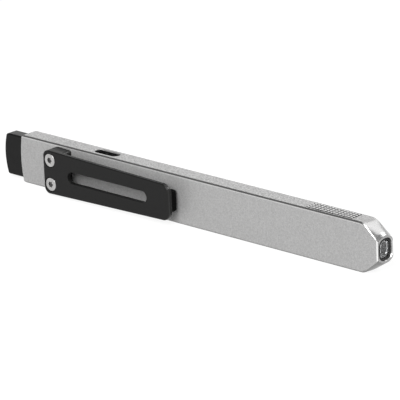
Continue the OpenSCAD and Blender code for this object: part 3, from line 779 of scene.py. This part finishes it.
# Limits for the parts of a face's normal
FLAT = 0.93
FRONT = 0.95
SLANT = 0.3
LEAN = 0.2
CREST_TILT = (0.08, 0.42)
EDGE_TILT = (0.6, 0.97)


def in_groove(middle, normal):
    """Whether a face of the bar lies between the studs of the grip patch, where shade is painted in."""
    along = middle.x - tail_x - GRIP_START + 2 * GRIP_MARGIN
    inside = 0 < along < GRIP_COUNT * GRIP_PITCH + 4 * GRIP_MARGIN
    beside = abs(middle.y) < GRIP_ROWS * GRIP_PITCH / 2 + 2 * GRIP_MARGIN
    level = top_z - GRIP_SINK - 10 * WELD < middle.z < top_z + GRIP_H - GRIP_EDGE / 2
    return inside and beside and level and not is_top(middle, normal)


def on_stud(middle, normal):
    """Whether a face is the top of a stud of the grip patch; these tops get a lighter copy of the satin
    finish as painted highlight.
    """
    return middle.z > top_z + GRIP_H - GRIP_EDGE / 2


def is_top(middle, normal):
    """Whether a face is on the narrow side with the socket."""
    return normal.z > FLAT and abs(middle.z - top_z) < WELD


def in_seam(middle, normal):
    """Whether a face lies in the fine seam behind the tip's ring or on the ring's side, where shade is
    painted in.
    """
    start = oblique(taper_x - RING_SEAM / 8)(middle.y, 0)
    end = oblique(front_x - RIM_BEND)(middle.y, 0)
    outward = middle.y * normal.y + (middle.z - mid_z) * normal.z > 0
    return outward and start < middle.x < end


def in_port(middle, normal):
    """Whether a face is on the lower part of the socket cut-out's inner wall, which gets painted shade."""
    beside = abs(middle.x - port.x) < PORT_L / 2 + FIT and abs(middle.y - port.y) < PORT_T / 2 + FIT
    return beside and top_z - 2 * EDGE_WALL < middle.z < top_z - PORT_RIM - PORT_LIT


def is_cut(middle, normal):
    """Whether a face of the bar is left as cut: all but its flat sides and its grip patch."""
    return max(abs(normal.y), abs(normal.z)) < FLAT and middle.z < top_z + WELD


def is_chamfer(middle, normal):
    """Whether a face belongs to a chamfer along the bar or to the nose's front; these get a darker, smoother
    copy of the machined finish, whose darker tone is painted shade.
    """
    along = abs(normal.x) < SLANT and middle.x < nose_x + NOSE_BEND / 2
    front = normal.x > FRONT and middle.x > oblique(front_x - RIM_BEND)(middle.y, 0)
    return is_cut(middle, normal) and (along or front)


def is_crest(middle, normal):
    """Whether a face rolls over from a wide face to the chamfer above it; only the upper edges get a brighter
    copy of the machined finish as painted highlight.
    """
    tilted = CREST_TILT[0] < normal.z < CREST_TILT[1] and abs(normal.x) < SLANT
    return tilted and middle.z > mid_z and middle.x < nose_x


def is_edge(middle, normal):
    """Whether a face rounds off the end of a wide face at the nose; these faces get a brighter copy of the
    machined finish as painted highlight.
    """
    end = oblique(taper_x)(middle.y, 0)
    tilted = EDGE_TILT[0] < abs(normal.y) < EDGE_TILT[1] and normal.x > LEAN
    return tilted and end - NOSE_EDGE < middle.x < end


def is_underside(middle, normal):
    """Whether a face belongs to the nose's lower slope or to a lower chamfer; these get a darker copy of the
    machined finish as painted shade.
    """
    below = middle.z < mid_z - TIP_W / 4 and normal.z < -SLANT
    return is_cut(middle, normal) and below and middle.x < front_x - WELD


def housing():
    """The bar, hollow, with its window pocket, its socket cut-out, its screw holes and its grip patch."""
    obj = loft("housing_shell", housing_rings(), wrap=True)
    combine(obj, port_cutter(), "DIFFERENCE")
    for z in screw_heights:
        stations = [(HOLE_R, -half_t - MM), (HOLE_R, -half_t + 2 * SIDE_WALL)]
        combine(obj, turned("hole", z, stations, HOLE_STEPS), "DIFFERENCE")
    combine(obj, grip_field(), "DIFFERENCE")
    combine(obj, grip_studs(), "UNION")
    obj.data.materials.clear()
    obj.data.materials.append(FINISHES["satin_aluminium"])
    second_finish(obj, satin_aluminium("top_aluminium", 0.28, 0.7, 0.5 * MM), is_top)
    # A lighter copy of the satin finish on the stud tops: painted highlight.
    second_finish(obj, satin_aluminium("stud_top_painted_highlight", 0.84, 0.92, 0.3 * MM), on_stud)
    for name, base, roughness, chosen in (
            # The edge finish is a brighter copy of the machined one: painted highlight along the nose ends of
            # the wide faces.
            ("nose_aluminium", 0.6, 0.27, is_cut), ("edge_painted_highlight", 0.84, 0.3, is_edge),
            # The chamfer finish is a darker, smoother copy of the machined one: its darker tone is painted
            # shade.
            # The crest finish is a brighter copy of the machined one on the upper edges only: painted
            # highlight.
            ("crest_painted_highlight", 0.66, 0.3, is_crest), ("chamfer_painted_shade", 0.32, 0.24, is_chamfer),
            # The underside finish is a darker copy of the machined one: painted shade below.
            ("underside_painted_shade", 0.2, 0.3, is_underside)):
        second_finish(obj, machined_aluminium(name, base, roughness), chosen)
    # A near-black finish between the studs and in the seam behind the tip's ring: painted shade.
    second_finish(obj, FINISHES["groove_painted_shade"], in_groove)
    second_finish(obj, FINISHES["groove_painted_shade"], in_seam)
    # A dark steel on the lower inner wall of the socket cut-out: painted shade.
    second_finish(obj, FINISHES["recess_painted_shade"], in_port)
    return dress(obj, "body", "satin_aluminium", "housing")


def clip_corners():
    root_z = clip_high.z - mid_z - CLIP_ROOT_R
    free_z = clip_free_w / 2 - CLIP_FREE_R
    root_x = clip_low.x + CLIP_ROOT_R
    free_x = clip_high.x - CLIP_FREE_R
    return [(free_x, -free_z, CLIP_FREE_R), (free_x, free_z, CLIP_FREE_R),
            (root_x, root_z, CLIP_ROOT_R), (root_x, -root_z, CLIP_ROOT_R)]


def clip_plate():
    """The clip's plate with a rounded outer edge."""
    corners = clip_corners()
    rings = [face_ring(outline(corners, CLIP_UNDER), plate_y),
             face_ring(outline(corners), plate_y - CLIP_UNDER)]
    for a in arc(5):
        rings.append(face_ring(outline(corners, CLIP_BEVEL * (1 - math.cos(a))),
                               clip_low.y + CLIP_BEVEL * (1 - math.sin(a))))
    return loft("clip_plate", rings)


def clip_root():
    """The block that stands on the bar, a hair inside the plate's outline."""
    upper, lower = clip_corners()[2:]
    end_x = clip_low.x + ROOT_L - ROOT_R
    narrowing = (upper[1] + upper[2] - clip_free_w / 2) / (clip_high.x - clip_low.x)
    end_z = upper[1] + upper[2] - narrowing * ROOT_L - ROOT_R
    corners = [(end_x, -end_z, ROOT_R), (end_x, end_z, ROOT_R), upper, lower]
    levels = (clip_high.y, (plate_y + clip_low.y) / 2)
    return loft("clip_root", [face_ring(outline(corners, SEAM), y) for y in levels])


def clip_pad():
    """The rounded pad under the free end, which presses on cloth."""
    end = clip_high.x - PAD_SETBACK
    start = end - PAD_L
    sunk = plate_y - CLIP_PLATE / 2
    low = -half_t - PAD_GAP
    corners = [(start + PAD_EDGE, sunk + PAD_EDGE, PAD_EDGE), (end - PAD_EDGE, sunk + PAD_EDGE, PAD_EDGE),
               (end - PAD_R, low - PAD_R, PAD_R), (start + PAD_R, low - PAD_R, PAD_R)]
    levels = []
    for a in arc(4):
        levels.append((PAD_W / 2 - PAD_EDGE * (1 - math.sin(a)), EDGE_SHARE * PAD_EDGE * (1 - math.cos(a))))
    levels = [(-z, inset) for z, inset in reversed(levels)] + levels
    return loft("clip_pad", [level_ring(outline(corners, inset), mid_z + z) for z, inset in levels])


def slot_cutter():
    corners = stadium(clip_low.x + SLOT_START + SLOT_L / 2, 0, SLOT_L, SLOT_W)
    return loft("slot_cutter", [face_ring(outline(corners, -grow), clip_low.y + depth)
                                for depth, grow in flared(2 * CLIP_PLATE, SLOT_RIM)])


def screw_cutter(z):
    """A screw's counterbore and the hole for its shank."""
    seat_r = head_d / 2 + HEAD_GAP
    levels = flared(HEAD_H, SLOT_RIM / 2)
    stations = [(HOLE_R, clip_high.y + MM), (HOLE_R, clip_low.y + HEAD_H)]
    stations += [(seat_r + grow, clip_low.y + depth) for depth, grow in levels]
    return turned("screw_cutter", z, stations)


def is_rubbed(middle, normal):
    """Whether a face of the clip looks towards its free end, which pockets rub smooth."""
    root_end = abs(middle.x - clip_low.x - ROOT_L) < 2 * ROOT_R
    free_end = middle.x > clip_high.x - CLIP_FREE_R and middle.y < plate_y + WELD
    return normal.x > LEAN and (root_end or free_end)


def is_pad(middle, normal):
    """Whether a face of the clip is on the pad behind its free end, which is painted near black and dull as
    shade between the clip and the bar.
    """
    return middle.x > clip_high.x - 2 * PAD_L and middle.y > plate_y + WELD


def clip():
    obj = clip_plate()
    obj.name = "pocket_clip"
    combine(obj, clip_root(), "UNION")
    combine(obj, clip_pad(), "UNION")
    combine(obj, slot_cutter(), "DIFFERENCE")
    for z in screw_heights:
        combine(obj, screw_cutter(z), "DIFFERENCE")
    obj.data.materials.clear()
    obj.data.materials.append(FINISHES["black_aluminium"])
    second_finish(obj, black_aluminium("worn_black", 0.008, 0.016, (0.2, 0.28), gloss=0.42), is_rubbed)
    # A near-black, dull copy of the clip's finish on the pad: painted shade between the clip's free end and
    # the bar.
    second_finish(obj, black_aluminium("pad_painted_shade", 0.003, 0.005, (0.6, 0.7), gloss=0.06), is_pad)
    return dress(obj, "body", "black_aluminium", "clip")


def star(scale, angle):
    """Radius of a six-lobe recess at an angle."""
    return scale * (STAR_R + STAR_LOBE * (math.cos(STAR_LOBES * angle) - 1))


def clip_screw(z):
    """A screw with a low domed head and a six-lobe recess."""
    face_y = clip_low.y
    seat_y = face_y + HEAD_H
    tip_y = screw_high.y
    shank_r = SHANK_D / 2
    head_r = head_d / 2
    stations = [(shank_r - SHANK_BEVEL, tip_y), (shank_r, tip_y - SHANK_BEVEL),
                (shank_r, seat_y), (head_r, seat_y)]
    for a in arc(5):
        stations.append((head_r - HEAD_EDGE * (1 - math.cos(a)),
                         face_y + HEAD_DOME + HEAD_EDGE * (1 - math.sin(a))))
    stations.append((HEAD_CROWN * head_r, face_y + HEAD_CROWN_DROP))
    stations += [(partial(star, scale), face_y + depth) for scale, depth in STAR_STEPS]
    stations += [(across * STAR_R, face_y + down * STAR_DEPTH) for across, down in STAR_POINT]
    return turned("screw", z, stations, SCREW_STEPS)


def in_recess(middle, normal):
    """Whether a face of a screw lies in its recess, which gets painted shade."""
    apart = min(math.hypot(middle.x - screw_x, middle.z - z) for z in screw_heights)
    deep = clip_low.y + RECESS_FROM < middle.y < clip_low.y + HEAD_H
    return apart < STAR_R and deep and abs(normal.y) > SLANT


def clip_screws():
    """Both screws as one piece of two solids."""
    mesh_builder = bmesh.new()
    for z in reversed(screw_heights):
        screw = clip_screw(z)
        mesh_builder.from_mesh(screw.data)
        bpy.data.objects.remove(screw)
    obj = make_object("clip_screw_pair", mesh_builder)
    obj.data.materials.append(FINISHES["stainless"])
    # A dark steel in the screw recesses: painted shade.
    second_finish(obj, FINISHES["recess_painted_shade"], in_recess)
    return dress(obj, "body", "stainless", "clip_screws")


def button_section(inset):
    corner = max(BUTTON_EDGE - inset, min(inset / 2, BUTTON_INNER_R))
    return round_section(button_t - 2 * inset, button_w - 2 * inset, corner)


def snap_leg(side):
    """A snap leg with its hook, above (1) or below (-1) the post."""
    end = button_high.x
    hook = end - HOOK_L
    root = tail_x + BUTTON_IN - SPRING_ROOM
    top = LEG_Z + LEG_T
    profile = [(root, LEG_Z), (end, LEG_Z), (end, top), (hook + HOOK_L / 2, top + HOOK_H),
               (hook, top + HOOK_H), (hook, top), (root, top)]
    pairs = [(x, side * z) for x, z in profile]
    return loft("snap_leg", [face_ring(pairs, y) for y in (LEG_TOP_Y - LEG_B, LEG_TOP_Y)])


def rod(name, x0, x1, y, z, diameter, steps=32):
    """A cylinder along the bar."""
    r = diameter / 2
    pairs = [(y + r * math.cos(a), z + r * math.sin(a)) for a in circle(steps)]
    return loft(name, [[Vector((x, *pair)) for pair in pairs] for x in (x0, x1)])


def spring_middle():
    """Height of a return spring's axis above the bar's axis."""
    return spring_high.z - mid_z - (spring_high.y - spring_low.y) / 2


def tail_button():
    """The push button: a bowed, rounded cap with its seal groove, spring pockets, post and snap legs."""
    rings = end_rings(button_section, BUTTON_INSETS,
                      button_low.x, button_w, BUTTON_SAG, BUTTON_CORNER, BUTTON_RIM)
    groove = tail_x + SEAL_START
    end = tail_x + BUTTON_IN
    steps = ((0, button_low.x + STRAIGHT_FROM * BUTTON_SAG), (0, groove), (SEAL_DEPTH, groove),
             (SEAL_DEPTH, groove + SEAL_L), (0, groove + SEAL_L),
             (0, end - BUTTON_BEVEL), (BUTTON_BEVEL, end))
    rings += [ring(button_section(inset), x) for inset, x in steps]
    mesh_builder = bmesh.new()
    add_loft(mesh_builder, rings)
    front = min((f for f in mesh_builder.faces if len(f.verts) > 4), key=lambda f: f.calc_center_median().x)
    front.normal_update()
    bmesh.ops.triangulate(mesh_builder, faces=[front], ngon_method="BEAUTY")
    obj = make_object("push_button", mesh_builder)
    spring_room = spring_high.y - spring_low.y + 2 * SPRING_ROOM
    for side in (1, -1):
        pocket = rod("pocket", end - SPRING_POCKET, end + MM, 0, mid_z + side * spring_middle(), spring_room)
        combine(obj, pocket, "DIFFERENCE")
        combine(obj, snap_leg(side), "UNION")
    post_y = (plunger_low.y + plunger_high.y) / 2
    post = rod("post", end - SPRING_ROOM, plunger_low.x - POST_GAP, post_y, mid_z, POST_D)
    combine(obj, post, "UNION")
    return dress(obj, "button", "black_plastic", "tail_button")


def button_springs():
    """Two return coils, built at their rest length, though they flatten as the button goes in."""
    coil_r = (spring_high.y - spring_low.y - SPRING_WIRE) / 2
    start = spring_low.x + SPRING_WIRE / 2
    length = spring_high.x - spring_low.x - SPRING_WIRE
    wire = circle(WIRE_STEPS)
    mesh_builder = bmesh.new()
    for side in (1, -1):
        middle = mid_z + side * spring_middle()
        rings = []
        for i in range(SPRING_STEPS * SPRING_TURNS + 1):
            a = 2 * math.pi * i / SPRING_STEPS
            out = Vector((0, math.cos(a), math.sin(a)))
            centre = Vector((start + length * i / (SPRING_STEPS * SPRING_TURNS), 0, middle)) + coil_r * out
            along = Vector((1, 0, 0))
            rings.append([centre + SPRING_WIRE / 2 * (math.cos(b) * out + math.sin(b) * along) for b in wire])
        add_loft(mesh_builder, rings)
    obj = make_object("return_springs", mesh_builder)
    dress(obj, "body", "stainless", "button_springs")
    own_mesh(obj)
    return obj


def lens():
    """The window, with a gently crowned front and soft edges."""
    def face(inset):
        corner = max(LENS_CORNER - inset, LENS_INNER_R)
        return round_section(lens_t - 2 * inset, lens_w - 2 * inset, corner)

    rings = [ring(face(LENS_SOFT), lens_low.x), ring(face(0), lens_low.x + LENS_SOFT)]
    for a in arc(4):
        x = lens_high.x - LENS_CROWN - LENS_SOFT * (1 - math.sin(a))
        rings.append(ring(face(LENS_SOFT * (1 - math.cos(a))), x))
    rings += [ring(face(s * lens_t / 2), lens_high.x - LENS_CROWN * (1 - s) ** 2) for s in CROWN_SHARES]
    return dress(loft("window", rings), "body", "clear_window", "lens")


def lens_gasket():
    """The black ring round the window, with a rounded lip."""
    def around(grow):
        return round_section(lens_t, lens_w, LENS_CORNER, grow=FIT / 2 + grow)

    wall = gasket_wall - FIT
    rings = [ring(around(0), gasket_low.x), ring(around(wall), gasket_low.x)]
    for a in arc(6, 180):
        x = gasket_high.x - wall / 2 * (1 - math.sin(a))
        rings.append(ring(around(wall * (1 + math.cos(a)) / 2), x))
    return dress(loft("window_gasket", rings, wrap=True), "body", "black_rubber", "lens_gasket")


def add_block(mesh_builder, low, high, bevel, index):
    """A box between two corners with bevelled edges along z, given a material."""
    start = len(mesh_builder.faces)
    corners = [(low.x + bevel, low.y + bevel, bevel), (high.x - bevel, low.y + bevel, bevel),
               (high.x - bevel, high.y - bevel, bevel), (low.x + bevel, high.y - bevel, bevel)]
    levels = [(low.z, 0), (high.z - bevel, 0), (high.z, bevel * EDGE_SHARE)]
    add_loft(mesh_builder, [level_ring(outline(corners, inset, step=30), z) for z, inset in levels])
    mesh_builder.faces.ensure_lookup_table()
    for face in mesh_builder.faces[start:]:
        face.material_index = index


def usb_tongue():
    """The socket's plastic base and tongue, with a row of contacts on each side."""
    mesh_builder = bmesh.new()
    base_top = tongue_low.z + TONGUE_BASE
    corners = stadium(port.x, port.y, tongue_high.x - tongue_low.x, tongue_high.y - tongue_low.y)
    add_loft(mesh_builder, [level_ring(outline(corners), z) for z in (tongue_low.z, base_top)])
    size = Vector((TONGUE_L, TONGUE_T, 0)) / 2
    at = Vector((port.x, port.y, 0))
    add_block(mesh_builder, at - size + Vector((0, 0, base_top - FIT)),
              at + size + Vector((0, 0, tongue_high.z)), TONGUE_BEVEL, index=0)
    for side in (1, -1):
        for i in range(CONTACT_COUNT):
            x = port.x + (i - (CONTACT_COUNT - 1) / 2) * CONTACT_PITCH
            y = port.y + side * TONGUE_T / 2
            top = tongue_high.z - CONTACT_DROP
            add_block(mesh_builder, Vector((x - CONTACT_W / 2, y - CONTACT_H, top - CONTACT_L)),
                      Vector((x + CONTACT_W / 2, y + CONTACT_H, top)), CONTACT_BEVEL, index=1)
    obj = make_object("socket_tongue", mesh_builder)
    obj.data.materials.append(FINISHES["tongue_plastic"])
    obj.data.materials.append(FINISHES["gold"])
    return dress(obj, "body", "tongue_plastic", "usb_tongue")


def dress_nodes():
    """Gives each node that keeps its own mesh the finish of its slot, but paints the socket's shell dark as
    shade.
    """
    for part in frame["record"]["subparts"]:
        obj = frame["nodes"][part["node"]]
        if not obj.hide_render:
            obj.data.materials.clear()
            # The socket's steel shell gets the dark painted shade instead of its own slot's finish.
            deep = part["node"] == "usb_shell"
            obj.data.materials.append(FINISHES["recess_painted_shade" if deep else part["material_slot"]])


# The camera, fitted to the photograph's edges and corners
IMAGE_PX = 400
FOCAL_PX = 3651
SENSOR_MM = 36
AIM_PX = (211.93, 203.18)
AZIMUTH = math.radians(44.1)
ELEVATION = math.radians(18.5)
ROLL = math.radians(-2.43)
DISTANCE = 1.0094
NEAR = 0.05
AIM = Vector((4.775 * MM, 0, mid_z + 0.2 * MM))

# The studio: lamps, floor and surroundings, which are given as (height in the view, brightness)
LAMP_DISTANCE = 0.9
FLOOR_REACH = 6.0
FLOOR_GREY = 0.18
FLOOR_GLOW = 0.9
HORIZON = (0.25, 0.95)
OVERHEAD = (0.5, 0.22)
UNSEEN_STRENGTH = 0.65


def camera():
    """Looks at the aim point from the photograph's angle, with that point on its own pixel."""
    back = Vector((math.sin(AZIMUTH) * math.cos(ELEVATION), -math.cos(AZIMUTH) * math.cos(ELEVATION),
                   math.sin(ELEVATION)))
    level = Vector((math.cos(AZIMUTH), math.sin(AZIMUTH), 0))
    upright = back.cross(level)
    right = level * math.cos(ROLL) + upright * math.sin(ROLL)
    up = upright * math.cos(ROLL) - level * math.sin(ROLL)
    pixel = DISTANCE / FOCAL_PX
    aside = right * (IMAGE_PX / 2 - AIM_PX[0]) - up * (IMAGE_PX / 2 - AIM_PX[1])
    data = bpy.data.cameras.new("camera")
    data.sensor_width = SENSOR_MM
    data.lens = FOCAL_PX / IMAGE_PX * SENSOR_MM
    data.clip_start = NEAR
    obj = bpy.data.objects.new("camera", data)
    turn = Matrix((right, up, back)).transposed().to_4x4()
    obj.matrix_world = Matrix.Translation(AIM + back * DISTANCE + aside * pixel) @ turn
    bpy.context.scene.collection.objects.link(obj)
    bpy.context.scene.camera = obj


def softbox(name, direction, size, radiance):
    """A square area lamp of an even brightness that faces the middle of the bar."""
    data = bpy.data.lights.new(name, "AREA")
    data.shape = "SQUARE"
    data.size = size
    data.energy = radiance * math.pi * size * size
    obj = bpy.data.objects.new(name, data)
    away = Vector(direction).normalized()
    obj.location = Vector((0, 0, mid_z)) + away * LAMP_DISTANCE
    obj.rotation_mode = "QUATERNION"
    obj.rotation_quaternion = (-away).to_track_quat("-Z", "Y")
    bpy.context.scene.collection.objects.link(obj)


def seen_strength(nodes, links, unseen, seen):
    """One strength for what is seen, straight, in metal or through glass, and another for all other rays."""
    rays = nodes.new("ShaderNodeLightPath")
    share = rays.outputs["Is Camera Ray"]
    for name in ("Is Glossy Ray", "Is Transmission Ray"):
        either = nodes.new("ShaderNodeMath")
        either.operation = "MAXIMUM"
        links.new(share, either.inputs[0])
        links.new(rays.outputs[name], either.inputs[1])
        share = either.outputs[0]
    scaled = nodes.new("ShaderNodeMapRange")
    scaled.inputs["To Min"].default_value = unseen
    scaled.inputs["To Max"].default_value = seen
    links.new(share, scaled.inputs["Value"])
    return scaled.outputs["Result"]


def floor():
    """A plain pale floor that reads as white and keeps the object's shadow."""
    mesh_builder = bmesh.new()
    corners = [(a * FLOOR_REACH, b * FLOOR_REACH) for a, b in ((-1, -1), (1, -1), (1, 1), (-1, 1))]
    mesh_builder.faces.new([mesh_builder.verts.new(p) for p in level_ring(corners, body_low.z)])
    obj = make_object("floor", mesh_builder)
    finish = Finish("floor")
    finish.set(Base_Color=(*grey(FLOOR_GREY), 1), Roughness=0.9, Specular_IOR_Level=0.0)
    finish.set(Emission_Color=(1, 1, 1, 1))
    finish.link("Emission Strength", seen_strength(finish.nodes, finish.links, unseen=0.0, seen=FLOOR_GLOW))
    obj.data.materials.append(finish.material)


def world():
    """A studio that is pale along the horizon and dim overhead."""
    made = bpy.data.worlds.new("studio")
    bpy.context.scene.world = made
    made.use_nodes = True
    nodes, links = made.node_tree.nodes, made.node_tree.links
    direction = nodes.new("ShaderNodeTexCoord").outputs["Generated"]
    parts = nodes.new("ShaderNodeSeparateXYZ")
    ramp = nodes.new("ShaderNodeValToRGB")
    links.new(direction, parts.inputs[0])
    links.new(parts.outputs["Z"], ramp.inputs["Fac"])
    low, high = ramp.color_ramp.elements
    for element, (height, brightness) in ((low, HORIZON), (high, OVERHEAD)):
        element.position = height
        element.color = (*grey(brightness), 1)
    strength = seen_strength(nodes, links, unseen=UNSEEN_STRENGTH, seen=1.0)
    links.new(ramp.outputs["Color"], nodes["Background"].inputs["Color"])
    links.new(strength, nodes["Background"].inputs["Strength"])


housing()
clip()
clip_screws()
tail_button()
button_springs()
lens()
lens_gasket()
usb_tongue()
dress_nodes()
camera()
softbox("lamp_behind", (0.12, 0.56, 0.82), size=0.8, radiance=1.0)
softbox("lamp_spark", (0.45, 0.6, 0.66), size=0.2, radiance=6.0)
softbox("lamp_low", (-0.66, 0.68, 0.32), size=0.5, radiance=0.6)
softbox("lamp_front", (0.3, -0.7, 0.65), size=0.6, radiance=6.4)
floor()
world()
bpy.context.scene.view_settings.view_transform = "Standard"
